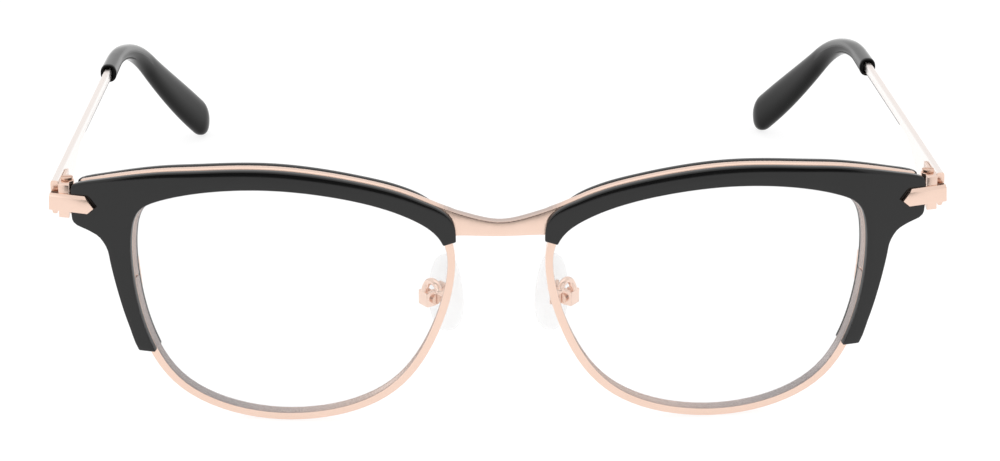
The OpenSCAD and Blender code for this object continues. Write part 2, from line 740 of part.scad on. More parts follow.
function arm_ring(t) = let(
    p = arm_at(t), d = unit(arm_at(min(t + 0.05, len(ARM) - 1)) - arm_at(max(t - 0.05, 0))),
    u = unit(cross([1, 0, 0], d)), v = cross(d, u)
) [for (i = [0:7]) p + wire_dia / 2 * (cos(45 * i) * v + sin(45 * i) * u)];

module pad_bore() rotate([0, 90, 0]) rod(pad_screw_dia / 2 + screw_play, -fork_w, fork_w);

module pad_arm() {
    loft([for (t = [0:0.25:len(ARM) - 1]) arm_ring(t)]);
    on_pad() difference() {
        block([-fork_w / 2, fork_back, -1.2], [fork_w / 2, 0.75, 1.2]);
        block([-lug_w / 2 - 0.08, fork_back + 0.4, -2], [lug_w / 2 + 0.08, 2, 2]);
        pad_bore();
    }
}

module pad_core() {
    on_pad() difference() {
        union() {
            translate([-lug_w / 2, 0, 0]) rotate([0, 90, 0]) cylinder(r = lug_r, h = lug_w, $fn = 48);
            block([-lug_w / 2, 0, -lug_r], [lug_w / 2, pad_off + 0.5, lug_r]);
            block([-1, pad_off + 0.5, -1.8], [1, pad_off + 1, 1.8]);
        }
        pad_bore();
    }
}

module pad_screw() {
    on_pad() rotate([0, 90, 0]) difference() {
        union() {
            rod(pad_screw_dia / 2, -fork_w / 2 - fit, fork_w / 2);
            rod(0.8, -fork_w / 2 - 0.5, -fork_w / 2 - fit);
        }
        block([-2, -slot_w / 2, -fork_w / 2 - 1], [2, slot_w / 2, -fork_w / 2 - 0.3]);
    }
}

// Drop shape of the pad, narrower at its top
function pad_point(a, k) = let(v = sin(a)) [
    pad_w / 2 * k * cos(a) * (1 - 0.18 * v), (pad_len - pad_w * (1 - k)) / 2 * v
];
PAD_LAYERS = [[0.72, 0], [0.94, 0.12], [1, 0.4], [0.97, 0.68], [0.84, 0.9], [0.55, 1]];

module nose_pad() {
    count = 20;
    on_pad() difference() {
        loft([for (q = PAD_LAYERS) [for (i = [0:count - 1]) let(p = pad_point(360 / count * i, q[0]))
            [p[0], pad_off + q[1] * pad_t, p[1]]]]);
        block([-lug_w / 2 - fit, pad_off - 1, -lug_r - fit], [lug_w / 2 + fit, pad_off + 0.6, lug_r + fit]);
        block([-1.4 - fit, pad_off + 0.5 - fit, -3 - fit], [1.4 + fit, pad_off + 1 + fit, 3 + fit]);
    }
}

// Standing: the lowest points of rims and tips decide how the glasses lean

function dipped(p, a) = [p[0], p[1] * cos(a) + p[2] * sin(a), p[2] * cos(a) - p[1] * sin(a)];
function closed(p, a) = [p[0] * cos(a) - p[1] * sin(a), p[0] * sin(a) + p[1] * cos(a), p[2]];
function to_front(p) = hinge + dipped(closed(p, temple_close), temple_fall);
RIM_LOW = [for (t = [9:STEP:14]) each rim_ring(t)];
TIP_LOW = [for (s = concat(TIP_S, END_S)) each [for (p = tip_ring(s)) to_front(p)]];
function lowest(list) = let(m = min([for (p = list) p[2]])) [for (p = list) if (p[2] == m) p][0];
rim_foot = lowest(RIM_LOW);
lean = min([for (p = TIP_LOW) if (p[1] > 60) atan2(p[2] - rim_foot[2], p[1] - rim_foot[1])]);
function leaned(p) = dipped(p, lean);
floor_z = min([for (p = concat(RIM_LOW, TIP_LOW)) leaned(p)[2]]);
back_y = max([for (p = TIP_LOW) leaned(p)[1]]);
front_y = min([for (t = BROW_STATIONS) each [for (p = brow_rib(t)) leaned(p)[1]]]);

module stand() translate([0, -(front_y + back_y) / 2, -floor_z]) rotate([-lean, 0, 0]) children();

module left() stand() children();
module right() stand() mirror([1, 0, 0]) children();
module both() {
    children();
    mirror([1, 0, 0]) children();
}

// Pieces

module brow_right() color(black) right() brow();
module brow_left() color(black) left() brow();
module eyewire_right() color(gold) right() eyewire();
module eyewire_left() color(gold) left() eyewire();
module lens_right() color(clear, 0.35) right() lens();
module lens_left() color(clear, 0.35) left() lens();
module rim_lock_right() color(gold) right() rim_lock();
module rim_lock_left() color(gold) left() rim_lock();
module rim_lock_screws() color(gold) stand() both() rim_lock_screw();
module endpiece_right() color(gold) right() endpiece();
module endpiece_left() color(gold) left() endpiece();
module endpiece_rivets() color(gold) stand() both() rivets();
module front_hinge_right() color(gold) right() front_hinge();
module front_hinge_left() color(gold) left() front_hinge();
module temple_hinge_right() color(gold) right() temple_hinge();
module temple_hinge_left() color(gold) left() temple_hinge();
module hinge_screw_right() color(gold) right() hinge_screw();
module hinge_screw_left() color(gold) left() hinge_screw();
module brow_screws() color(gold) stand() both() brow_screw();
module pad_arm_right() color(gold) right() pad_arm();
module pad_arm_left() color(gold) left() pad_arm();
module pad_core_right() color(gold) right() pad_core();
module pad_core_left() color(gold) left() pad_core();
module nose_pad_right() color(clear, 0.6) right() nose_pad();
module nose_pad_left() color(clear, 0.6) left() nose_pad();
module pad_screw_right() color(gold) right() pad_screw();
module pad_screw_left() color(gold) left() pad_screw();
module temple_right() color(gold) right() temple();
module temple_left() color(gold) left() temple();
module tip_right() color(black) right() tip();
module tip_left() color(black) left() tip();

bridge_bar();
brow_right();
brow_left();
eyewire_right();
eyewire_left();
lens_right();
lens_left();
rim_lock_right();
rim_lock_left();
rim_lock_screws();
endpiece_right();
endpiece_left();
endpiece_rivets();
front_hinge_right();
front_hinge_left();
temple_hinge_right();
temple_hinge_left();
hinge_screw_right();
hinge_screw_left();
brow_screws();
pad_arm_right();
pad_arm_left();
pad_core_right();
pad_core_left();
nose_pad_right();
nose_pad_left();
pad_screw_right();
pad_screw_left();
temple_right();
temple_left();
tip_right();
tip_left();
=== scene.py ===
# %% [markdown]
# # Browline glasses
#
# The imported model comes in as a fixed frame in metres. Z points up, Y runs from the front
# back along the temples, and the wearer's left is on +X. Its solids are exact but plain, so
# each large piece is modelled again here with finer curves and rounded edges. The small
# hinge parts keep their shape and get softened edges. The finishes are made before the
# first piece, and at the end come the floor, the light and the camera.

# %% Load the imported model
import math

import bmesh
import bpy
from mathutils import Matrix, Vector


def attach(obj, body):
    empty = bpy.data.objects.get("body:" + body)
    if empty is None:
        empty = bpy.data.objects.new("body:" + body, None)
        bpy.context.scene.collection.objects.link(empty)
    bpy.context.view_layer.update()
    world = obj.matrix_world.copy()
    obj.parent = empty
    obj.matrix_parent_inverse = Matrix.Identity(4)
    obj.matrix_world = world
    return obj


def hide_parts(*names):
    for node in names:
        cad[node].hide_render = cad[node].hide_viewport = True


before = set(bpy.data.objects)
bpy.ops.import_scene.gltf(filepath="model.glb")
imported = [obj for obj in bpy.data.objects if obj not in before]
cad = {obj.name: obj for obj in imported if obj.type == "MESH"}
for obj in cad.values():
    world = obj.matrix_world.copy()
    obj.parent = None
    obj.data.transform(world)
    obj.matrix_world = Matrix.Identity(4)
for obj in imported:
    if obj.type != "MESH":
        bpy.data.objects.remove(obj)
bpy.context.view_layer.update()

print("CAD nodes:", len(cad))

# %% [markdown]
# ## The curved front
#
# A pair of glasses isn't flat. The lenses follow a sphere-like base curve, and each half
# also wraps back round the face. It is far easier to model a piece straight and flat, and
# to lay it on that surface afterwards, so the surface is written down once, as a function
# that takes a place on the flat front and a depth, and gives the point in space. The sizes
# repeat those of the CAD source.

# %% Sizes of the front, in millimetres
MM = 0.001
EYE_W, EYE_H, EYE_GAP = 49.5, 38.0, 16.5
LENS_X = (EYE_GAP + EYE_W) / 2
BASE_R = 130.0
WRAP = math.tan(math.radians(5.0))
BRIDGE_ARCH, BRIDGE_HALF = 0.4, 8.0
# How the open glasses stand: lean on rims and tips, height of the floor, place along Y
LEAN, FLOOR_Z, SHIFT_Y = math.radians(-0.195407), -20.1526, -71.4132

bridge_slope = WRAP + (BRIDGE_HALF - LENS_X) / BASE_R
bridge_y = WRAP * (BRIDGE_HALF - LENS_X) + (BRIDGE_HALF - LENS_X) ** 2 / (2 * BASE_R)
arch_4 = BRIDGE_HALF * bridge_slope / 2 - BRIDGE_ARCH
arch_2 = BRIDGE_ARCH - arch_4


def clamp(value):
    """Keeps a value between 0 and 1."""
    return min(max(value, 0), 1)


def across(x):
    """How far the front lies back at a distance from the middle, and its slope there."""
    u, v = x / BRIDGE_HALF, x - LENS_X
    if x > BRIDGE_HALF:
        return WRAP * v + v * v / (2 * BASE_R), WRAP + v / BASE_R
    return (bridge_y - BRIDGE_ARCH + arch_2 * u**2 + arch_4 * u**4,
            (2 * arch_2 * u + 4 * arch_4 * u**3) / BRIDGE_HALF)


def front(x, z, depth, level=0.0):
    """Point behind the front surface: level 1 goes straight back, level 0 square to it."""
    y, slope = across(abs(x))
    back = Vector((-math.copysign(slope, x), 1, -z / BASE_R * (1 - level))).normalized()
    return Vector((x, y + z * z / (2 * BASE_R), z)) + depth * back


def stand(p):
    """From the frame of the front to the glasses as they stand on the floor, in metres."""
    c, s = math.cos(LEAN), math.sin(LEAN)
    y, z = p[1] * c + p[2] * s, p[2] * c - p[1] * s
    return Vector((p[0], y + SHIFT_Y, z - FLOOR_Z)) * MM


print("front surface at the lens centre:", stand(front(LENS_X, 0, 0)))

# %% [markdown]
# ## The outline of a lens
#
# Rim, lens and browpiece all follow the same closed curve. Sixteen points give it, as
# shares of the lens's half width and half height, and a smooth spline runs close by them. A
# station t counts the points, so every piece can ask for the same place.

# %% Lens outline
EYE = [Vector(p) for p in (
    (-0.975, 0.53), (-0.79, 0.745), (-0.45, 0.91), (0.05, 1), (0.5, 0.963), (0.8, 0.865),
    (0.945, 0.755), (0.992, 0.53), (0.985, 0.17), (0.907, -0.305), (0.707, -0.752),
    (0.3, -0.975), (-0.15, -0.985), (-0.56, -0.81), (-0.82, -0.42), (-0.975, 0.14))]
EYE_N = len(EYE)
EYE_CONTROLS = [EYE[i] + (2 * EYE[i] - EYE[i - 1] - EYE[(i + 1) % EYE_N]) / 6
                for i in range(EYE_N)]


def eye(t):
    """Point of the lens opening at a station, on a cubic B-spline."""
    i, f = math.floor(t), t - math.floor(t)
    g = 1 - f
    w = (g**3, 3 * f**3 - 6 * f**2 + 4, 3 * g**3 - 6 * g**2 + 4, f**3)
    p = sum((w[k] * EYE_CONTROLS[(i - 1 + k) % EYE_N] for k in range(4)), Vector((0, 0))) / 6
    return Vector((LENS_X + p[0] * EYE_W / 2, p[1] * EYE_H / 2))


def outwards(t):
    """Direction square to the lens opening."""
    d = eye(t + 0.02) - eye(t - 0.02)
    return Vector((-d[1], d[0])).normalized()


def beside(t, distance):
    """Point at a distance outside the lens opening."""
    return eye(t) + outwards(t) * distance


print("lens opening from", eye(8), "to", eye(0))

# %% [markdown]
# ## Tools for edit mode
#
# A few helpers do what a modeller does with the mouse: open a piece in edit mode, pick
# faces or edges by where they are, extrude them, and leave. A long piece starts as a
# straight blank, a cube or a cylinder whose long edges are cut many times, so that it can
# be bent smoothly at the end. Only edges that run along X are cut, which is what the first
# test below is for.

# %% Edit mode helpers
def only(obj):
    """Makes one object the selected and active one."""
    bpy.ops.object.select_all(action="DESELECT")
    obj.select_set(True)
    bpy.context.view_layer.objects.active = obj


def edit(obj):
    """Opens one object in edit mode."""
    only(obj)
    bpy.ops.object.mode_set(mode="EDIT")


def done():
    """Leaves edit mode."""
    bpy.ops.object.mode_set(mode="OBJECT")


def pick_faces(obj, test):
    """Selects the faces whose middle and normal pass a test."""
    bpy.ops.mesh.select_mode(type="FACE")
    bpy.ops.mesh.select_all(action="DESELECT")
    bm = bmesh.from_edit_mesh(obj.data)
    found = [f for f in bm.faces if test(f.calc_center_median(), f.normal)]
    for f in found:
        f.select_set(True)
    bmesh.update_edit_mesh(obj.data)
    return len(found)


def pick_edges(obj, test):
    """Selects the edges whose two ends pass a test."""
    bpy.ops.mesh.select_mode(type="EDGE")
    bpy.ops.mesh.select_all(action="DESELECT")
    bm = bmesh.from_edit_mesh(obj.data)
    found = [e for e in bm.edges if test(e.verts[0].co, e.verts[1].co)]
    for e in found:
        e.select_set(True)
    bmesh.update_edit_mesh(obj.data)
    return len(found)


def pull(x=0.0, y=0.0, z=0.0):
    """Extrudes what is selected."""
    bpy.ops.mesh.extrude_region_move(TRANSFORM_OT_translate={"value": (x, y, z)})


def along_x(a, b):
    """Whether an edge runs along X."""
    same = 1e-5
    return abs(a.x - b.x) > same and abs(a.y - b.y) < same and abs(a.z - b.z) < same


def cut_across(bar, name, cuts):
    """Names a fresh bar, applies its place and cuts its long edges."""
    bar.name = bar.data.name = name
    bpy.ops.object.transform_apply(location=True, rotation=True, scale=True)
    edit(bar)
    pick_edges(bar, along_x)
    bpy.ops.mesh.subdivide(number_cuts=cuts)
    done()
    return bar


def blank(name, low, high, cuts):
    """A straight bar between two corners, its long edges cut so that it can be bent."""
    low, high = Vector(low), Vector(high)
    bpy.ops.object.select_all(action="DESELECT")
    bpy.ops.mesh.primitive_cube_add(size=1, location=(low + high) / 2, scale=high - low)
    return cut_across(bpy.context.object, name, cuts)


def round_blank(name, sides, cuts):
    """A straight round bar of radius 1 along X from 0 to 1, cut across."""
    bpy.ops.object.select_all(action="DESELECT")
    bpy.ops.mesh.primitive_cylinder_add(vertices=sides, radius=1, depth=1,
                                        location=(0.5, 0, 0), rotation=(0, math.pi / 2, 0))
    return cut_across(bpy.context.object, name, cuts)


def bend(obj, place):
    """Lays a straight blank along its real course: place gives each point's real position."""
    for v in obj.data.vertices:
        v.co = place(*v.co)
    obj.data.update()


def clean(obj, merge=1e-6):
    """Merges doubled points and turns all faces outwards."""
    edit(obj)
    bpy.ops.mesh.select_all(action="SELECT")
    bpy.ops.mesh.remove_doubles(threshold=merge)
    bpy.ops.mesh.select_all(action="SELECT")
    bpy.ops.mesh.normals_make_consistent(inside=False)
    done()


def smooth_shading(obj, degrees):
    """Shades the faces smooth where they meet at less than an angle."""
    only(obj)
    bpy.ops.object.shade_smooth_by_angle(angle=math.radians(degrees))


def soften(obj, width, segments=3, angle=32.0):
    """Rounds the edges sharper than an angle. width is in millimetres."""
    only(obj)
    bevel = obj.modifiers.new("edges", "BEVEL")
    bevel.width, bevel.segments = width * MM, segments
    bevel.limit_method, bevel.angle_limit = "ANGLE", math.radians(angle)
    bpy.ops.object.modifier_apply(modifier=bevel.name)
    smooth_shading(obj, 35)


def mirrored(obj, name):
    """The same piece for the wearer's right half, with its own mesh."""
    twin = obj.copy()
    twin.data = obj.data.copy()
    twin.name = twin.data.name = name
    bpy.context.scene.collection.objects.link(twin)
    edit(twin)
    bpy.ops.mesh.select_all(action="SELECT")
    bpy.ops.transform.resize(value=(-1, 1, 1), center_override=(0, 0, 0))
    bpy.ops.mesh.flip_normals()
    done()
    return twin


def report(obj):
    """Prints a piece's size and its number of faces."""
    size = [round(v / MM, 1) for v in obj.dimensions]
    print(obj.name, size, "mm,", len(obj.data.polygons), "faces")


print("tools ready:", ", ".join(f.__name__ for f in (blank, round_blank, bend, clean, soften)))


# %% [markdown]
# ## Finishes
#
# Real finishes are never one flat value. Plated metal has a faint cloudiness and fine
# drawing marks, tumbled acetate has soft waves in its gloss and tiny scratches, and
# silicone picks up dust. Each material therefore feeds noise into its roughness and its
# bump, and lets its colour drift a little. Image textures would need a picture and a UV map
# for each finish, while noise in the object's own coordinates needs neither and has no
# seams.

# %% Material helpers
def noise(tree, scale, low, high, stretch=(1, 1, 1), detail=3.0):
    """Noise in the object's own coordinates, mapped to a range. scale is in waves a metre."""
    place = tree.nodes.new("ShaderNodeTexCoord")
    mapping = tree.nodes.new("ShaderNodeMapping")
    mapping.inputs["Scale"].default_value = stretch
    field = tree.nodes.new("ShaderNodeTexNoise")
    field.inputs["Scale"].default_value = scale
    field.inputs["Detail"].default_value = detail
    limits = tree.nodes.new("ShaderNodeMapRange")
    limits.inputs["To Min"].default_value = low
    limits.inputs["To Max"].default_value = high
    tree.links.new(place.outputs["Object"], mapping.inputs["Vector"])
    tree.links.new(mapping.outputs["Vector"], field.inputs["Vector"])
    tree.links.new(field.outputs["Fac"], limits.inputs["Value"])
    return limits.outputs["Result"]


def stored(tree, name):
    """The value that an attribute of the mesh holds, 0 where a piece hasn't got it."""
    mark = tree.nodes.new("ShaderNodeAttribute")
    mark.attribute_name = name
    return mark.outputs["Fac"]


def finish_of(name, colours, roughness, bump, light_and_shade=(), shaded_ior=None, **sockets):
    """A Principled material: a drift between two colours, uneven roughness and a fine bump.

    colours: two colours and the scale of the drift between them
    roughness: scale, lowest and highest value
    bump: scale, strength, height in millimetres and how the noise is stretched
    marks: pairs of an attribute of the mesh and the painted light or shade colour that it brings
    dulled: the lower IOR where the attribute shade is 1, a weaker reflection as painted shade
    """
    material = bpy.data.materials.new(name)
    material.use_nodes = True
    tree = material.node_tree
    shader = tree.nodes["Principled BSDF"]
    for key, value in sockets.items():
        shader.inputs[key.replace("_", " ")].default_value = value
    drift = tree.nodes.new("ShaderNodeMix")
    drift.data_type = "RGBA"
    drift.inputs["A"].default_value = (*colours[0], 1)
    drift.inputs["B"].default_value = (*colours[1], 1)
    tree.links.new(noise(tree, colours[2], 0, 1), drift.inputs["Factor"])
    colour = drift.outputs["Result"]
    for attribute, other in light_and_shade:
        mix = tree.nodes.new("ShaderNodeMix")
        mix.data_type = "RGBA"
        mix.inputs["B"].default_value = (*other, 1)
        tree.links.new(stored(tree, attribute), mix.inputs["Factor"])
        tree.links.new(colour, mix.inputs["A"])
        colour = mix.outputs["Result"]
    # Painted shade on the reflection: where the attribute shade is 1, the IOR falls and the
    # surface mirrors less.
    if shaded_ior:
        gloss = tree.nodes.new("ShaderNodeMapRange")
        gloss.inputs["To Min"].default_value = sockets["IOR"]
        gloss.inputs["To Max"].default_value = shaded_ior
        tree.links.new(stored(tree, "shade"), gloss.inputs["Value"])
        tree.links.new(gloss.outputs["Result"], shader.inputs["IOR"])
    tree.links.new(colour, shader.inputs["Base Color"])
    tree.links.new(noise(tree, roughness[0], *roughness[1:]), shader.inputs["Roughness"])
    relief = tree.nodes.new("ShaderNodeBump")
    relief.inputs["Strength"].default_value = bump[1]
    relief.inputs["Distance"].default_value = bump[2] * MM
    tree.links.new(noise(tree, bump[0], 0, 1, stretch=bump[3]), relief.inputs["Height"])
    tree.links.new(relief.outputs["Normal"], shader.inputs["Normal"])
    return material


# %% The finishes
EVEN = (1, 1, 1)
# The rose gold mixes in painted light on the temples' inner and top faces, painted shade on the
# rims' inner faces and the bridge's top, and a painted dark reflection along the temples' lower
# edge.
rose_gold = finish_of(
    "polished_rose_gold", ((0.86, 0.63, 0.52), (0.90, 0.68, 0.57), 160),
    (420, 0.16, 0.28), (900, 0.12, 0.02, (1, 0.15, 1)),
    light_and_shade=(("painted_light", (0.96, 0.91, 0.88)), ("shade", (0.31, 0.30, 0.31)),
           ("line", (0.10, 0.075, 0.07))), Metallic=1.0)
screw_gold = finish_of(
    "turned_screw_metal", ((0.74, 0.48, 0.36), (0.84, 0.60, 0.48), 700),
    (1500, 0.24, 0.38), (2600, 0.25, 0.02, (1, 1, 4)), Metallic=1.0)
ACETATE = (((0.004, 0.004, 0.004), (0.008, 0.008, 0.008), 90),
           (260, 0.07, 0.15), (350, 0.05, 0.03, EVEN))
black_acetate = finish_of("polished_black_acetate", *ACETATE, IOR=1.47)
# The ear tips' acetate gets painted shade as a weaker reflection: its IOR falls to 1.1 where the
# attribute shade is 1.
tip_acetate = finish_of("black_acetate_painted_shade_below", *ACETATE, shaded_ior=1.1, IOR=1.47)
clear_lens = finish_of(
    "clear_lens", ((0.95, 0.96, 0.965), (0.98, 0.985, 0.99), 40),
    (120, 0.01, 0.04), (60, 0.02, 0.01, EVEN), Alpha=0.06, IOR=1.5)
silicone = finish_of(
    "clear_silicone", ((0.82, 0.825, 0.83), (0.88, 0.885, 0.89), 300),
    (700, 0.18, 0.34), (1200, 0.08, 0.03, EVEN), Alpha=0.2, IOR=1.43)
print("finishes:", ", ".join(
    m.name for m in (rose_gold, screw_gold, black_acetate, tip_acetate, clear_lens, silicone)))

# %% [markdown]
# Some places get painted light or shade in their colour: painted shade on the rims' inner
# faces, where they mirror the hidden lens edge, and on the bridge's top; a painted dark
# reflection along each temple's lower inner edge; painted light on the temples' inner and top
# faces. Such a place is stored with the faces as an attribute, and the finish mixes its
# other colour in there, so that it stays put in every view and pose. On the ear tips the same
# kind of attribute weakens the reflection instead, as painted shade.

# %% Painted light and shade stored on the faces, and a piece's last step
def store(obj, name, amount):
    """Stores a value with each face: amount gets its middle in millimetres and its normal."""
    mark = obj.data.attributes.new(name, "FLOAT", "FACE")
    for face in obj.data.polygons:
        mark.data[face.index].value = amount(face.center / MM, face.normal)
    print(obj.name, name, "on", sum(1 for v in mark.data if v.value > 0), "faces")


def dress(obj, material, slot, body, *instead_of):
    """Gives a piece its finish, its body and the CAD nodes that it stands for."""
    obj.data.materials.clear()
    obj.data.materials.append(material)
    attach(obj, body)
    if instead_of:
        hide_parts(*instead_of)
    report(obj)


# %% [markdown]
# ## Browpieces
#
# The brows are what gives these glasses their name: bars of black acetate above the lenses,
# thick at the outer corner and thin at the nose. Each has a front wall, a groove along its
# top in which the arm of the metal bridge lies, and a rear wall that holds the rim. It
# could be carved from a block, but its section changes all the way. So it is modelled as a
# straight blank, with X counting the stations of the lens outline, Y running from the lens
# to the outer edge in three lanes, and Z as depth. Extruding the right lanes of the back
# makes groove and channel, and then the whole blank is bent round the lens. A table gives
# its outer edge, at the nose and along the leg as a distance from the lens, and round the
# wing as a place near the wing's end.

# %% Sizes of the browpieces
RIM_W, RIM_D = 1.3, 1.8
# Depths behind the front: front wall, back of the groove, back of the rim channel, whole
BROW_FRONT, GROOVE_BACK, CHANNEL_BACK, BROW_T = 1.25, 2.69, 3.15, 3.69
RIM_LANE, GROOVE_D, REAR_RISE = RIM_W + 0.05, 1.0, 0.2
# Widths at the nose, above the lens and along the leg, and the wing's end
NOSE, TOP, LEG = 2.15, 2.9, 2.95
WING_X, WING_Z = LENS_X + EYE_W / 2 + 9.2, EYE_H / 2 - 4.25
THICK_FROM, GROOVE_TO, BROW_END = 0.75, 6.0, 9.325  # stations


def off(t, width, x, z):
    """Outer edge as a distance from the lens opening."""
    return t, Vector((width * x, width * z))


def wing(t, x, z):
    """Outer edge as a place near the wing's end."""
    return t, Vector((WING_X + x, WING_Z + z)) - eye(t)


BROW = [
    off(0, NOSE, -0.94, 0.24), off(0.25, NOSE, -1.17, 0.85), off(0.5, NOSE, -1.11, 1.15),
    off(0.75, TOP, -0.62, 0.96), off(1, TOP, -0.39, 1), off(2, TOP, -0.38, 0.93),
    off(3, TOP, -0.06, 1.01), off(4, TOP, 0.3, 1.08), off(4.75, TOP, 0.72, 1.28),
    wing(5, -11.35, 5.6), wing(5.25, -8.45, 5.05), wing(5.5, -4.85, 4.25),
    wing(5.75, -1.05, 3.3), wing(6, 0, 2.3), wing(6.25, 0, -1.55), wing(6.5, -0.45, -3.15),
    wing(6.75, -2.55, -4), wing(7, -4.35, -4.95),
    off(7.25, LEG, 1.27, -0.19), off(7.5, LEG, 1.13, -0.32), off(8, LEG, 1.02, -0.03),
    off(8.5, LEG, 0.94, 0.15), off(9, LEG, 0.98, 0.42), off(9.25, LEG, 0.97, 0.18),
    off(BROW_END, LEG, 0.9, 0.02)]
LIFT = [(THICK_FROM, -2.5), (1, 0), (1.5, 0.9), (2, 1), (5.5, 1), (GROOVE_TO, 0)]


def smooth(table, t):
    """Smooth value between the rows of a table, on cubic Hermite curves."""
    k = max(i for i in range(len(table) - 1) if table[i][0] <= t or i == 0)
    t0, t1 = table[k][0], table[k + 1][0]
    f = clamp((t - t0) / (t1 - t0))

    def slope(i):
        if i == 0 or i == len(table) - 1:
            j = min(max(i, 1), len(table) - 1)
            return (table[j][1] - table[j - 1][1]) / (table[j][0] - table[j - 1][0])
        return (table[i + 1][1] - table[i - 1][1]) / (table[i + 1][0] - table[i - 1][0])

    a, b = table[k][1], table[k + 1][1]
    h = t1 - t0
    return ((2 * f**3 - 3 * f**2 + 1) * a + (f**3 - 2 * f**2 + f) * h * slope(k)
            + (3 * f**2 - 2 * f**3) * b + (f**3 - f**2) * h * slope(k + 1))


def brow_line(t):
    """Outer edge of the browpiece at a station."""
    return eye(t) + smooth(BROW, t)


def lift(t):
    """How far the rear wall stands above the outer edge: it rises from a point at the nose."""
    return REAR_RISE * smooth(LIFT, min(max(t, LIFT[0][0]), LIFT[-1][0]))


print("the wing's end lies", round(WING_X, 2), "mm from the middle")


# %% The blank of a browpiece, with its three lanes
BROW_CUTS, NEAR = 149, 0.01
brow = blank("brow_left_piece", (0, 0, 0), (BROW_END, 3, BROW_FRONT), BROW_CUTS)
edit(brow)
for lane in (1, 2):
    bpy.ops.mesh.select_all(action="SELECT")
    bpy.ops.mesh.bisect(plane_co=(0, lane, 0), plane_no=(0, 1, 0))
done()
print("faces of the blank:", len(brow.data.polygons))


# %% Extrude the body, the rear lip and the rim lip
def body_lanes(c, n):
    """Back faces behind the front wall: the middle lane, and the groove's where it has ended."""
    return n.z > 0.9 and c.x > THICK_FROM and c.y > 1 and (c.y < 2 or c.x > GROOVE_TO)


def behind_groove(c, n):
    return n.y > 0.9 and abs(c.y - 2) < NEAR and c.z > GROOVE_BACK and c.x < GROOVE_TO


def behind_channel(c, n):
    return n.y < -0.9 and abs(c.y - 1) < NEAR and c.z > CHANNEL_BACK


def walls_inside(c, n):
    """Faces left inside the body where the rear lip meets it."""
    return abs(c.x - GROOVE_TO) < NEAR and abs(n.x) > 0.9 and c.y > 2 and c.z > GROOVE_BACK


edit(brow)
print("body faces", pick_faces(brow, body_lanes))
for step in (GROOVE_BACK - BROW_FRONT, CHANNEL_BACK - GROOVE_BACK, BROW_T - CHANNEL_BACK):
    pull(z=step)
print("rear lip", pick_faces(brow, behind_groove))
pull(y=1)
print("rim lip", pick_faces(brow, behind_channel))
pull(y=-1)
bpy.ops.mesh.select_all(action="SELECT")
bpy.ops.mesh.remove_doubles(threshold=1e-4)
print("inner faces", pick_faces(brow, walls_inside))
bpy.ops.mesh.delete(type="ONLY_FACE")
done()


# %% Bend the blank round the lens
def brow_place(t, lane, depth):
    """The lanes keep their widths, but where the piece is slim each takes a share of it."""
    inner, outer = eye(t), brow_line(t)
    e = (outer - inner).normalized()
    if depth > BROW_FRONT + 1:
        outer = outer + lift(t) * e
    width = (brow_line(t) - inner).length
    rim = min(RIM_LANE / e.dot(outwards(t)), 0.45 * width)
    bed = max(width - GROOVE_D, 0.6 * width)
    lines = [inner, inner + rim * e, inner + bed * e, outer]
    k = min(int(lane), 2)
    p = lines[k].lerp(lines[k + 1], lane - k)
    return stand(front(p[0], p[1], depth, level=clamp(lane - 1)))


bend(brow, brow_place)
clean(brow)
soften(brow, 0.22)
brow_twin = mirrored(brow, "brow_right_piece")
dress(brow, black_acetate, "acetate", "front", "brow_left")
dress(brow_twin, black_acetate, "acetate", "front", "brow_right")

# %% [markdown]
# ## Rims
#
# A rim is drawn wire with a V groove inside, bent round the lens and closed by a small
# barrel at the temple side. A swept curve would need its groove in the profile, while a
# blank can be worked like the real wire: its inner face gets the groove, as a strip between
# two cuts that is pushed in and pinched. The bend leaves the slit open where the barrel
# closes it.

# %% Model the straight wire of a rim
RIM_FRONT = BROW_FRONT + 0.05
LENS_MID = RIM_FRONT + RIM_D / 2
LENS_T, V_DEPTH = 1.1, 0.5
HALF_SLIT, LOCK_AT = 0.04, 8
RIM_CUTS = 255
slit = HALF_SLIT / (eye(LOCK_AT + 0.5) - eye(LOCK_AT - 0.5)).length  # in stations

rim = blank("eyewire_left_piece", (0, 0, 0), (1, RIM_W, RIM_D), RIM_CUTS)
edit(rim)
mouth = LENS_T / 2 + 0.1
for z in (RIM_D / 2 - mouth, RIM_D / 2 + mouth):
    bpy.ops.mesh.select_all(action="SELECT")
    bpy.ops.mesh.bisect(plane_co=(0, 0, z), plane_no=(0, 0, 1))
print("groove", pick_faces(rim, lambda c, n: n.y < -0.9 and abs(c.z - RIM_D / 2) < mouth))
pull(y=V_DEPTH)
PINCH = 0.15  # what the groove's mouth keeps of its width at the bottom
bpy.ops.transform.resize(value=(1, 1, PINCH), center_override=(0, 0, RIM_D / 2))
done()


# %% Bend the wire round the lens
def rim_place(u, out, depth):
    p = beside(LOCK_AT + slit + u * (EYE_N - 2 * slit), out)
    return stand(front(p[0], p[1], RIM_FRONT + depth))


bend(rim, rim_place)
clean(rim)
soften(rim, 0.3)

# %% Shade the rims' inner faces
SHADE_AT_NOSE, SHADE_MORE, SHADE_RAMP = 0.48, 0.37, 20  # the ramp in millimetres
hub = stand(front(LENS_X, 0, RIM_FRONT)) / MM


def faces_lens(c, n):
    """Shade of the inner faces of a rim, next to the lens edge: deepest at the temple side."""
    inwards = Vector((hub[0] - c[0], 0, hub[2] - c[2])).normalized()
    temple_side = clamp((c[0] - hub[0]) / SHADE_RAMP + 0.5)
    return clamp((n.dot(inwards) - 0.3) * 4) * (SHADE_AT_NOSE + SHADE_MORE * temple_side)


store(rim, "shade", faces_lens)
rim_twin = mirrored(rim, "eyewire_right_piece")
dress(rim, rose_gold, "gold", "front", "eyewire_left")
dress(rim_twin, rose_gold, "gold", "front", "eyewire_right")

# %% [markdown]
# ## Lenses
#
# A lens is a thin curved disc whose edge is ground to a V that sits in the rim's groove. A
# piece cut from a sphere would need its outline trimmed. Here it starts as a flat disc,
# inset ring by ring so that it can take the base curve, and gets its thickness by two
# extrusions, which leave a middle ring for the V.

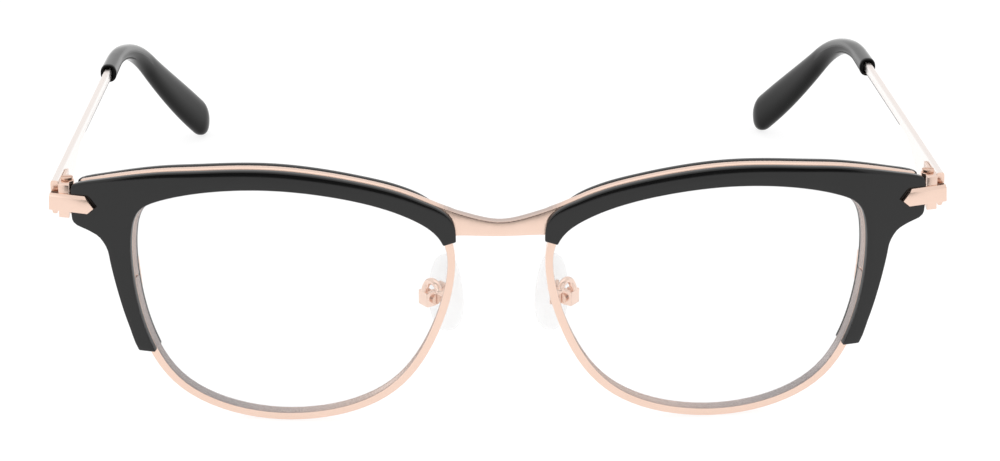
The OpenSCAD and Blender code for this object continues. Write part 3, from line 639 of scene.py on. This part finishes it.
# %% Model the flat disc of a lens
RINGS, LENS_SIDES = 9, 192
bpy.ops.object.select_all(action="DESELECT")
bpy.ops.mesh.primitive_circle_add(vertices=LENS_SIDES, radius=1, fill_type="NGON")
lens = bpy.context.object
lens.name = lens.data.name = "lens_left_piece"
edit(lens)
bpy.ops.mesh.select_all(action="SELECT")
for ring in range(RINGS):
    bpy.ops.mesh.inset(thickness=1 / (RINGS + 1))
bpy.ops.mesh.poke()
bpy.ops.mesh.select_all(action="SELECT")
pull(z=LENS_T / 2)
pull(z=LENS_T / 2)
done()
print("faces of the flat lens:", len(lens.data.polygons))


# %% Give the lens its outline, its V edge and its curve
LENS_PLAY = 0.06


def lens_place(x, y, depth):
    r, t = math.hypot(x, y), (math.atan2(y, x) / (2 * math.pi)) % 1 * EYE_N
    middle = Vector((LENS_X, 0))
    edge = V_DEPTH - LENS_PLAY - V_DEPTH * abs(depth - LENS_T / 2) / (LENS_T / 2)
    p = middle + min(r, 1) * (beside(t, edge if r > 0.99 else -LENS_PLAY) - middle)
    return stand(front(p[0], p[1], LENS_MID - LENS_T / 2 + depth))


bend(lens, lens_place)
clean(lens)
smooth_shading(lens, 30)
lens_twin = mirrored(lens, "lens_right_piece")
dress(lens, clear_lens, "lens", "front", "lens_left")
dress(lens_twin, clear_lens, "lens", "front", "lens_right")

# %% [markdown]
# ## Bridge bar
#
# One strip of metal forms the bridge and runs on as two thin arms in the grooves of the
# brows, where it shows from above as a bright line. It is one piece on the real glasses, so
# it is one blank here, spanning it from end to end, and no joint has to be hidden. A list
# of ribs gives its lower and upper edge: between the rims, beside a rim, and inside the
# groove.

# %% Ribs of half the bar
BAR_T, BAR_FRONT, BAR_PLAY = 1.4, BROW_FRONT + 0.02, 0.02
BRIDGE_Z, BRIDGE_H, BRIDGE_RISE, ARM_RISE = 11.15, 2.45, 1.8, 0.15
RIB_STEP = 0.25  # stations
ARM_RIBS = round((GROOVE_TO - THICK_FROM) / RIB_STEP)  # the last one is a step before the end


def bridge_top(x):
    """Height of the bridge's saddle at a distance from the middle."""
    return BRIDGE_Z + BRIDGE_H + BRIDGE_RISE * (abs(x) / BRIDGE_HALF) ** 1.7


def arm_rib(t):
    """Lower and upper edge of the arm in the groove."""
    outer = brow_line(t)
    e = (outer - eye(t)).normalized()
    return outer - (GROOVE_D - BAR_PLAY) * e, outer + ARM_RISE * e


half_bar = [(Vector((x, BRIDGE_Z)), Vector((x, bridge_top(x)))) for x in (0, 1.5, 3, 4.5, 6)]
half_bar += [(beside(t, RIM_W + BAR_PLAY), Vector((x, bridge_top(x))))
             for t, x in ((0.1, 7.4), (0.25, 8.5), (0.5, 9.6))]
half_bar += [arm_rib(THICK_FROM + RIB_STEP * k) for k in range(ARM_RIBS)]
lower = [(i, r[0]) for i, r in enumerate(half_bar)]
upper = [(i, r[1]) for i, r in enumerate(half_bar)]
last = len(half_bar) - 1
print("ribs on each half:", len(half_bar))


# %% Model the bridge bar
BAR_CUTS = 199  # odd, so that one cut lies in the middle
SADDLE_SHADE, SADDLE_END, SADDLE_FADE = 0.5, 10, 4


def bar_place(u, height, depth):
    k = abs(u) * last
    p = smooth(lower, k).lerp(smooth(upper, k), height)
    x = math.copysign(p[0], u) if abs(u) > 1e-6 else 0.0
    return stand(front(x, p[1], BAR_FRONT + depth, level=1))


def saddle_shade(c, n):
    """Half shade on the bridge's top, fading out towards the arms."""
    fade = max((SADDLE_END - abs(c[0])) / SADDLE_FADE, 0)
    return min(fade, SADDLE_SHADE) * (n.z > 0.6)


bar = blank("bridge_bar_piece", (-1, 0, 0), (1, 1, BAR_T), BAR_CUTS)
bend(bar, bar_place)
clean(bar)
soften(bar, 0.28)
store(bar, "shade", saddle_shade)
dress(bar, rose_gold, "gold", "front", "bridge_bar")

# %% [markdown]
# ## Temples and ear tips
#
# A temple is stamped from sheet: a tall flat plate at the hinge that narrows in one
# shoulder to a slim strip, which goes on as a wire core inside the acetate ear tip. Both
# follow one course, straight back, then bent down behind the ear and in towards the head.
# Joining boxes and tubes would show seams at every change of section, so a round blank is
# laid along the course, and at each place its ring is pressed to a rounded box for the
# plate, or an oval for the tip.

# %% Course and sections of a temple
TEMPLE_LEN, BEND_AT, BEND_R, BEND_ANGLE = 140.0, 74.0, 50.0, math.radians(33)
# How far the temple slopes down, how far it turns inwards, and how far its end bends inwards
FALL, CLOSE, TIP_IN = math.radians(3.4), math.radians(2.6), 9.8
TEMPLE_H, SLIM_H, SHOULDER_AT, SHOULDER_LEN, TEMPLE_T = 5.4, 1.9, 16.0, 10.0, 1.2
TIP_AT, TIP_W, TIP_H, PADDLE_H, PADDLE_W, CORE = 66.0, 2.8, 3.2, 7.0, 3.2, 1.3
CORE_IN, CORE_RUN = 2.0, 6.0  # where the core rounds off inside the tip, and over what length
TEMPLE_GAP = 1.3
HINGE = Vector((67.7, 11.5901, 14.85))


def course(s):
    """Middle of the temple at a length along it, in its own frame at the hinge."""
    a = min(max(s - BEND_AT, 0) / BEND_R, BEND_ANGLE)
    rest = max(s - BEND_AT - BEND_R * BEND_ANGLE, 0)
    share = max(s - BEND_AT, 0) / (TEMPLE_LEN - BEND_AT)
    return Vector((TEMPLE_GAP + TEMPLE_T / 2 - TIP_IN * share**1.6,
                   min(s, BEND_AT) + BEND_R * math.sin(a) + rest * math.cos(a),
                   (TEMPLE_H - SLIM_H) / 2 - BEND_R * (1 - math.cos(a)) - rest * math.sin(a)))


def on_ring(s, angle, w, up, down, power):
    """A point of the ring round the course: squarer for a small power, rounder near 1."""
    t = (course(s + 0.1) - course(s - 0.1)).normalized()
    h = Vector((1, 0, 0)).cross(t).normalized()
    side = t.cross(h)
    c, v = math.cos(angle), math.sin(angle)
    return (course(s) + side * w / 2 * math.copysign(abs(c) ** power, c)
            + h * (up if v > 0 else down) * math.copysign(abs(v) ** power, v))


def from_hinge(p):
    """From the frame of a temple at its hinge to the standing glasses."""
    x = p[0] * math.cos(CLOSE) - p[1] * math.sin(CLOSE)
    y = p[0] * math.sin(CLOSE) + p[1] * math.cos(CLOSE)
    return stand(HINGE + Vector((x, y * math.cos(FALL) + p[2] * math.sin(FALL),
                                 p[2] * math.cos(FALL) - y * math.sin(FALL))))


def ease(u):
    """A soft step from 0 to 1."""
    u = clamp(u)
    return u * u * (3 - 2 * u)


def strip_section(s):
    """How far the strip has turned into the round core, its width and its half height."""
    core = clamp((s - TIP_AT - CORE_IN) / CORE_RUN)
    return core, TEMPLE_T * (1 - core) + CORE * core, SLIM_H / 2 * (1 - core) + CORE / 2 * core


print("end of the course:", from_hinge(course(TEMPLE_LEN)))

# %% Model the temples
PLATE_START, CORE_END = -0.8, TEMPLE_LEN - 10
TEMPLE_SIDES, TEMPLE_CUTS = 32, 219


def temple_place(u, y, z):
    s = PLATE_START + u * (CORE_END - PLATE_START)
    core, w, up = strip_section(s)
    low = up + (TEMPLE_H - SLIM_H) * (1 - ease((s - SHOULDER_AT) / SHOULDER_LEN))
    return from_hinge(on_ring(s, math.atan2(z, y), w, up, low, 0.5 + 0.4 * core))


temple = round_blank("temple_left_piece", TEMPLE_SIDES, TEMPLE_CUTS)
bend(temple, temple_place)
clean(temple, 1e-7)
smooth_shading(temple, 50)


# %% Paint light on the temples' inner and top faces, and a dark reflection along their lower edge
# The dark line along the lower inner edge is a painted dark reflection.
DARK_REFLECTION_FROM = -28  # where the dark line along the lower inner edge begins, in Y


# Painted dark reflection on the lowest faces of the inner side, from a place in Y backwards.
def painted_edge_reflection(c, n):
    return 1.0 if n.x < -0.35 and -0.85 < n.z < -0.02 and c[1] > DARK_REFLECTION_FROM else 0.0


# Painted light: full on the inner faces, most on the top faces.
def painted_light_faces(c, n):
    return 1.0 if n.x < -0.5 else 0.8 if n.z > 0.5 else 0.0


store(temple, "line", painted_edge_reflection)
store(temple, "painted_light", painted_light_faces)
temple_twin = mirrored(temple, "temple_right_piece")
dress(temple, rose_gold, "gold", "temple_left", "temple_left")
dress(temple_twin, rose_gold, "gold", "temple_right", "temple_right")

# %% [markdown]
# The ear tip is moulded round the core. It is the same kind of blank. Its front end is
# inset and pushed in, so the collar is a real ring round the metal, and its far end closes
# in a dome.

# %% Model the blank of an ear tip
TIP_SIDES, TIP_CUTS = 40, 119
# The ring round the hole as a share of the radius, and the hole's depth in equal steps
COLLAR_WALL, BORE_STEPS, BORE_STEP = 0.4, 10, 0.012

tip = round_blank("tip_left_piece", TIP_SIDES, TIP_CUTS)
edit(tip)
print("collar", pick_faces(tip, lambda c, n: n.x < -0.9))
bpy.ops.mesh.inset(thickness=COLLAR_WALL)
for step in range(BORE_STEPS):
    pull(x=BORE_STEP)
done()
print("faces of the blank:", len(tip.data.polygons))

# %% Bend the tip along the course
DOME, DOME_FROM = 5.0, 0.9
BORE_PLAY, INNER_RING = 0.05, 0.9
PADDLE_FROM, PADDLE_TO = BEND_AT + 8, TEMPLE_LEN - 8
COLLAR_RUN, NECK_H, NECK_W = 10, 0.86, 0.96  # behind the collar the tip is a little slimmer
SHADE_FROM, SHADE_RUN = 24, 16  # where the tip's upper side gets painted shade, a weaker reflection, in Y


def tip_place(u, y, z):
    if u < DOME_FROM:
        s, end = TIP_AT + u / DOME_FROM * (TEMPLE_LEN - DOME - TIP_AT), 1.0
    else:
        turn = (u - DOME_FROM) / (1 - DOME_FROM) * math.pi / 2
        s, end = TEMPLE_LEN - DOME + DOME * math.sin(turn), max(math.cos(turn), 0.04)
    angle = math.atan2(z, y)
    if math.hypot(y, z) < INNER_RING:  # the hole for the core
        core, w, half = strip_section(s)
        half += BORE_PLAY
        return from_hinge(on_ring(s, angle, w + 2 * BORE_PLAY, half, half, 0.2 + 0.7 * core))
    share = clamp((s - PADDLE_FROM) / (PADDLE_TO - PADDLE_FROM))
    slim = clamp((s - TIP_AT) / COLLAR_RUN)
    h = TIP_H * (1 - (1 - NECK_H) * slim) + (PADDLE_H - NECK_H * TIP_H) * ease(share)
    w = TIP_W * (1 - (1 - NECK_W) * slim) + (PADDLE_W - NECK_W * TIP_W) * share
    return from_hinge(on_ring(s, angle, w * end, h / 2 * end, h / 2 * end, 0.85))


def paddle_shade(c, n):
    """Painted shade, as a weaker reflection: full below and on the paddle, none on the top of
    the bend.
    """
    return clamp(max((0.35 - n.z) * 3, (c[1] - SHADE_FROM) / SHADE_RUN))


bend(tip, tip_place)
clean(tip)
soften(tip, 0.25, angle=45)
store(tip, "shade", paddle_shade)
tip_twin = mirrored(tip, "tip_right_piece")
dress(tip, tip_acetate, "acetate", "temple_left", "tip_left")
dress(tip_twin, tip_acetate, "acetate", "temple_right", "tip_right")

# %% [markdown]
# ## Nose pads and their arms
#
# The pads are soft drops of clear silicone moulded round a metal plate. Each hangs on a
# screw in a small fork at the end of a bent wire. A sphere pressed flat would be too round
# at its edge, so a pad is a disc that is extruded in thin layers, and a table gives each
# layer its size and height.

# %% Model the stack of layers of a pad
LAYER_STEPS = 4  # extrusions from one row of the table to the next
PAD_LAYERS = [(0, Vector((0.72, 0))), (1, Vector((0.94, 0.12))), (2, Vector((1, 0.4))),
              (3, Vector((0.97, 0.68))), (4, Vector((0.84, 0.9))), (5, Vector((0.55, 1))),
              (6, Vector((0.2, 1.02)))]
bpy.ops.object.select_all(action="DESELECT")
bpy.ops.mesh.primitive_circle_add(vertices=64, radius=1, fill_type="NGON")
pad = bpy.context.object
pad.name = pad.data.name = "nose_pad_left_piece"
edit(pad)
bpy.ops.mesh.select_all(action="SELECT")
for step in range(LAYER_STEPS * PAD_LAYERS[-1][0]):
    pull(z=1 / LAYER_STEPS)
done()
print("layers of a pad:", LAYER_STEPS * PAD_LAYERS[-1][0])

# %% Shape the pads
PIVOT = Vector((10.9, 9.9, -2.2))
PAD_TURN = math.radians(55)
PAD_LEN, PAD_W, PAD_T, PAD_OFF = 13.0, 7.4, 2.8, 1.75
PAD_TAPER = 0.18  # the drop is narrower at its top


def from_pad(x, y, z):
    """From the frame of a pad at its screw to the standing glasses."""
    c, s = math.cos(PAD_TURN), math.sin(PAD_TURN)
    return stand(PIVOT + Vector((x * c - y * s, x * s + y * c, z)))


def pad_place(x, y, layer):
    angle = math.atan2(y, x)
    k, rise = smooth(PAD_LAYERS, layer)
    v = math.sin(angle)
    return from_pad(PAD_W / 2 * k * math.cos(angle) * (1 - PAD_TAPER * v),
                    PAD_OFF + rise * PAD_T, (PAD_LEN - PAD_W * (1 - k)) / 2 * v)


bend(pad, pad_place)
clean(pad)
smooth_shading(pad, 50)
pad_twin = mirrored(pad, "nose_pad_right_piece")
dress(pad, silicone, "silicone", "pad_left", "nose_pad_left")
dress(pad_twin, silicone, "silicone", "pad_right", "nose_pad_right")

# %% [markdown]
# A pad arm is a piece of wire, soldered to the back of the rim and bent up and round to the
# fork. Wire is easiest as a curve with a round section, turned into a mesh. The fork is a
# block whose two cheeks are extruded and rounded, and the two are joined because they are
# soldered on the real one.

# %% Bend the wire of a pad arm
WIRE, ARM_AT = 1.1, 14.9  # thickness, and the station where it leaves the rim
RIM_BACK = RIM_FRONT + RIM_D
spot = beside(ARM_AT, RIM_W / 2)
arm_points = [front(spot[0], spot[1], RIM_BACK), front(spot[0], spot[1], RIM_BACK + 1.2)]
arm_points += [Vector((PIVOT[0] + x, PIVOT[1] + y, z)) for x, y, z in (
    (-1.6, -4.3, 0.3), (-0.9, -3.2, 1.25), (0.1, -1.7, 1.1), (0.75, -0.95, -0.1),
    (0.95, -0.75, -0.95))]
line = bpy.data.curves.new("pad_arm_left_piece", "CURVE")
line.dimensions = "3D"
line.bevel_depth, line.bevel_resolution, line.use_fill_caps = WIRE / 2 * MM, 5, True
spline = line.splines.new("BEZIER")
spline.bezier_points.add(len(arm_points) - 1)
for point, place in zip(spline.bezier_points, arm_points):
    point.co = stand(place)
    point.handle_left_type = point.handle_right_type = "AUTO"
spline.resolution_u = 10
arm = bpy.data.objects.new("pad_arm_left_piece", line)
bpy.context.scene.collection.objects.link(arm)
only(arm)
bpy.ops.object.convert(target="MESH")
arm = bpy.context.object
report(arm)

# %% Model the fork and join it to the wire
FORK_W, FORK_BACK, FORK_END, CHEEK = 2.46, -1.45, 0.75, 0.5
FORK_H, WEB_T, CHEEK_ROUND = 2.4, 0.45, 0.7
fork = blank("pad_fork", (-FORK_W / 2, FORK_BACK, -FORK_H / 2),
             (FORK_W / 2, FORK_BACK + WEB_T, FORK_H / 2), 1)
edit(fork)
for x in (-FORK_W / 2 + CHEEK, FORK_W / 2 - CHEEK):
    bpy.ops.mesh.select_all(action="SELECT")
    bpy.ops.mesh.bisect(plane_co=(x, 0, 0), plane_no=(1, 0, 0))
print("cheeks", pick_faces(fork, lambda c, n: n.y > 0.9 and abs(c.x) > FORK_W / 2 - CHEEK))
pull(y=FORK_END - FORK_BACK - WEB_T)
pick_edges(fork, lambda a, b: along_x(a, b) and a.y > FORK_END - 0.05)
bpy.ops.mesh.bevel(offset=CHEEK_ROUND, segments=6)
done()
bend(fork, from_pad)
clean(fork)
soften(fork, 0.12, 2)
only(arm)
fork.select_set(True)
bpy.ops.object.join()
arm = bpy.context.object
smooth_shading(arm, 40)
arm_twin = mirrored(arm, "pad_arm_right_piece")
dress(arm, rose_gold, "gold", "front", "pad_arm_left")
dress(arm_twin, rose_gold, "gold", "front", "pad_arm_right")

# %% [markdown]
# ## Small metal parts
#
# Hinges, plaques, barrels, rivets and screws have the right shape already. What they lack
# is the soft edge that tumbling and polishing leave, so each gets live modifiers: one welds
# its loose triangles, one dissolves the flat ones, and a bevel rounds its edges. The CAD
# mesh itself stays as it is.

# %% Soften the edges of the small parts
def polish(name, material, width):
    """Gives a CAD node its finish and live soft edges. width is in millimetres."""
    obj = cad[name]
    obj.data.materials.clear()
    obj.data.materials.append(material)
    weld = obj.modifiers.new("weld", "WELD")
    weld.merge_threshold = 1e-6
    flat = obj.modifiers.new("flat", "DECIMATE")
    flat.decimate_type, flat.angle_limit = "DISSOLVE", math.radians(1)
    edges = obj.modifiers.new("edges", "BEVEL")
    edges.width, edges.segments = width * MM, 3
    edges.limit_method, edges.angle_limit = "ANGLE", math.radians(30)
    smooth_shading(obj, 35)


for side in ("left", "right"):
    polish(f"endpiece_{side}", rose_gold, 0.12)
    polish(f"front_hinge_{side}", rose_gold, 0.1)
    polish(f"temple_hinge_{side}", rose_gold, 0.08)
    polish(f"rim_lock_{side}", rose_gold, 0.1)
    polish(f"hinge_screw_{side}", screw_gold, 0.06)
    polish(f"pad_core_{side}", screw_gold, 0.06)
    polish(f"pad_screw_{side}", screw_gold, 0.05)
for name in ("rim_lock_screws", "endpiece_rivets", "brow_screws"):
    polish(name, screw_gold, 0.06)
print("softened parts:", sum(1 for o in cad.values() if o.modifiers))

# %% [markdown]
# ## Floor, light and camera
#
# The photograph is a high-key studio shot: a white sweep, light from all round, and a long
# lens that looks down a little. A floor lit by panels alone would be grey or mottled here,
# so the paper also glows a little by itself. The rest of the light comes from the pale
# world and two soft panels. In an all-white room black acetate turns grey, so a
# photographer hangs a dark cloth in front of the table, out of the picture, and the
# acetate's front mirrors that cloth.

# %% Floor
bpy.ops.object.select_all(action="DESELECT")
bpy.ops.mesh.primitive_plane_add(size=6, location=(0, 0, -0.0002))
floor = bpy.context.object
floor.name = "studio_floor"
bpy.ops.object.transform_apply(location=True, rotation=True, scale=True)
paper = finish_of("white_paper", ((0.28, 0.28, 0.28), (0.30, 0.30, 0.30), 3),
                  (30, 0.8, 0.95), (200, 0.02, 0.1, EVEN),
                  Emission_Color=(1, 1, 1, 1), Emission_Strength=0.8, Specular_IOR_Level=0.0)
floor.data.materials.append(paper)
report(floor)

# %% Dark cloth in front of the table
bpy.ops.object.select_all(action="DESELECT")
bpy.ops.mesh.primitive_plane_add(size=1, location=(0, 0, 0))
flag = bpy.context.object
flag.name = "dark_flag"
only(flag)
bpy.ops.transform.resize(value=(2.4, 0.7, 1), center_override=(0, 0, 0))
bpy.ops.transform.rotate(value=math.pi / 2, orient_axis="X", center_override=(0, 0, 0))
bpy.ops.transform.translate(value=(0, -1.5, 0.42))
bpy.ops.object.transform_apply(location=True, rotation=True, scale=True)
cloth = finish_of("black_cloth", ((0.02, 0.02, 0.02), (0.04, 0.04, 0.04), 20),
                  (50, 0.8, 0.95), (400, 0.1, 0.1, EVEN))
flag.data.materials.append(cloth)
report(flag)

# %% Light
world = bpy.data.worlds.new("studio")
bpy.context.scene.world = world
world.use_nodes = True
sky = world.node_tree.nodes["Background"]
sky.inputs["Color"].default_value = (1, 1, 1, 1)
sky.inputs["Strength"].default_value = 0.95


def panel(name, place, aim, size, power):
    """A soft rectangular panel of light."""
    data = bpy.data.lights.new(name, "AREA")
    data.shape, data.size, data.size_y, data.energy = "RECTANGLE", size[0], size[1], power
    lamp = bpy.data.objects.new(name, data)
    lamp.location = place
    lamp.rotation_euler = (Vector(aim) - Vector(place)).to_track_quat("-Z", "Y").to_euler()
    bpy.context.scene.collection.objects.link(lamp)
    print(name, power, "W,", size[0], "by", size[1], "m")


panel("top_panel", (0.0, 0.1, 0.9), (0, 0, 0), (1.0, 0.8), 0.8)
panel("left_panel", (-0.9, -0.5, 0.5), (0, -0.05, 0.02), (0.6, 0.6), 0.5)
bpy.context.scene.view_settings.view_transform = "Standard"

# %% Camera at the photograph's angle
CAMERA_D, AZIMUTH, ELEVATION = 540.0, math.radians(-1.5), math.radians(21.3)
PIXELS_PER_MM, PICTURE_W, SENSOR_W = 6.42, 1000, 36
target = Vector((0, 4, 11.23))  # in the frame of the front, between the brows
back = Vector((math.sin(AZIMUTH) * math.cos(ELEVATION), -math.cos(AZIMUTH) * math.cos(ELEVATION),
               math.sin(ELEVATION)))
camera = bpy.data.objects.new("camera", bpy.data.cameras.new("camera"))
bpy.context.scene.collection.objects.link(camera)
camera.location = stand(target + back * CAMERA_D)
camera.rotation_euler = (stand(target) - camera.location).to_track_quat("-Z", "Y").to_euler()
camera.data.sensor_width = SENSOR_W
camera.data.lens = PIXELS_PER_MM * CAMERA_D / PICTURE_W * SENSOR_W
camera.data.clip_start, camera.data.clip_end = 0.01, 20
bpy.context.scene.camera = camera
print("lens", round(camera.data.lens, 1), "mm")
